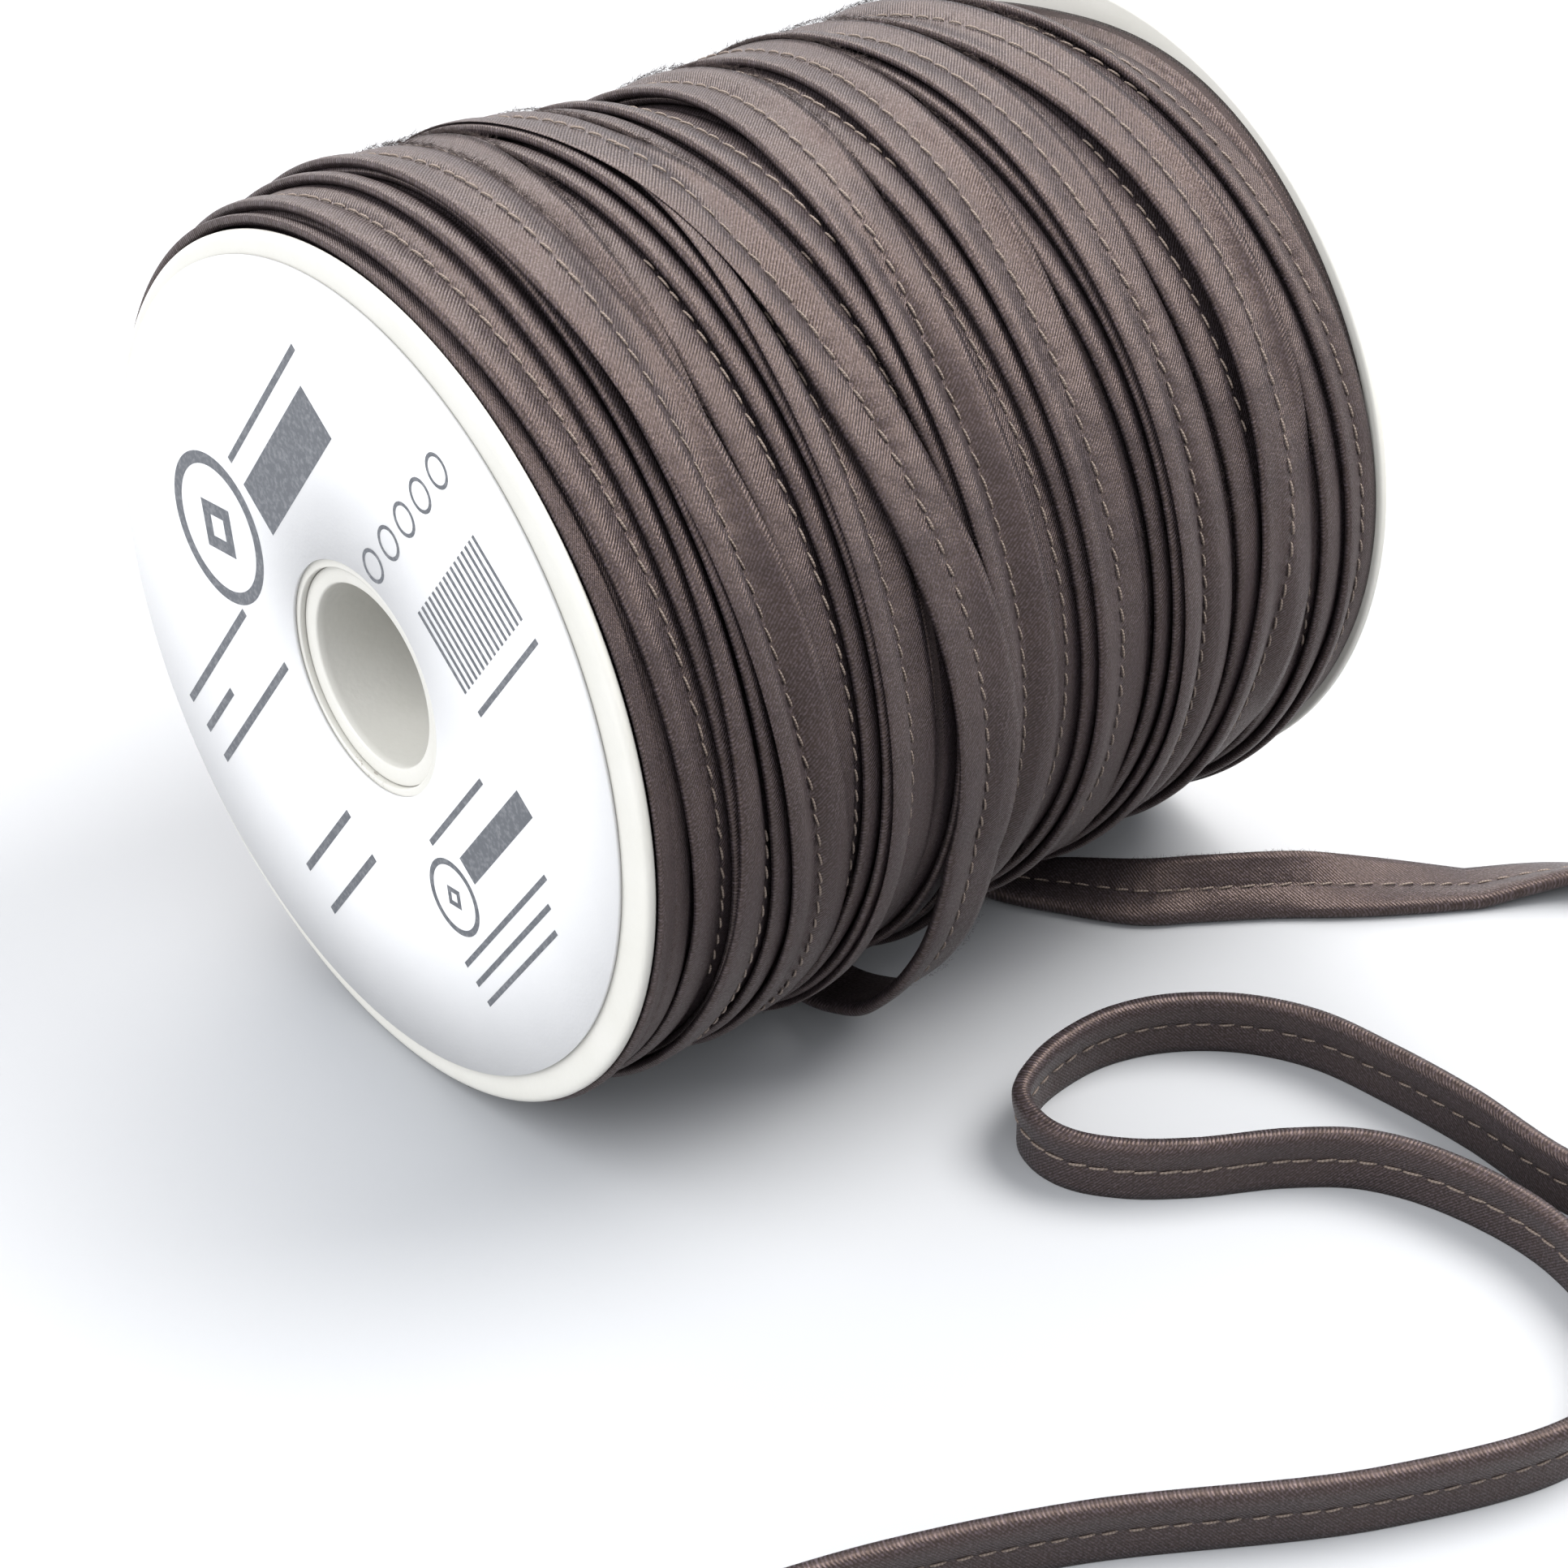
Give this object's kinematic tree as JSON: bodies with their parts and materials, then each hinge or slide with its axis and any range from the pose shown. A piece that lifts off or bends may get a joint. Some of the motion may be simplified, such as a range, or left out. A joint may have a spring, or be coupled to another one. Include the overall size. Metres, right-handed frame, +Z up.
{
  "type": "roll of piping trim",
  "caption": "Plastic spool lying on its side, wound past its flanges with flat-lipped satin piping, with a slack turn and a loose end looped in front of it.",
  "frame": {"origin": "middle of the flat spot that the roll rests on, halfway along the spool", "axes": "+Z up from the surface, +X along the spool's axis from the labelled flange to the other one, -Y towards the loose end"},
  "size_m": [0.2007, 0.2243, 0.1262],
  "materials": {
    "spool_plastic": "smooth moulded ivory plastic",
    "label_paper": "matt printed paper",
    "piping_satin": "dark brown satin"
  },
  "bodies": {
    "root": {"flange_front": "spool_plastic", "flange_back": "spool_plastic", "core_tube": "spool_plastic", "label": "label_paper", "winding": "piping_satin", "loose_end": "piping_satin"}
  },
  "joints": []
}
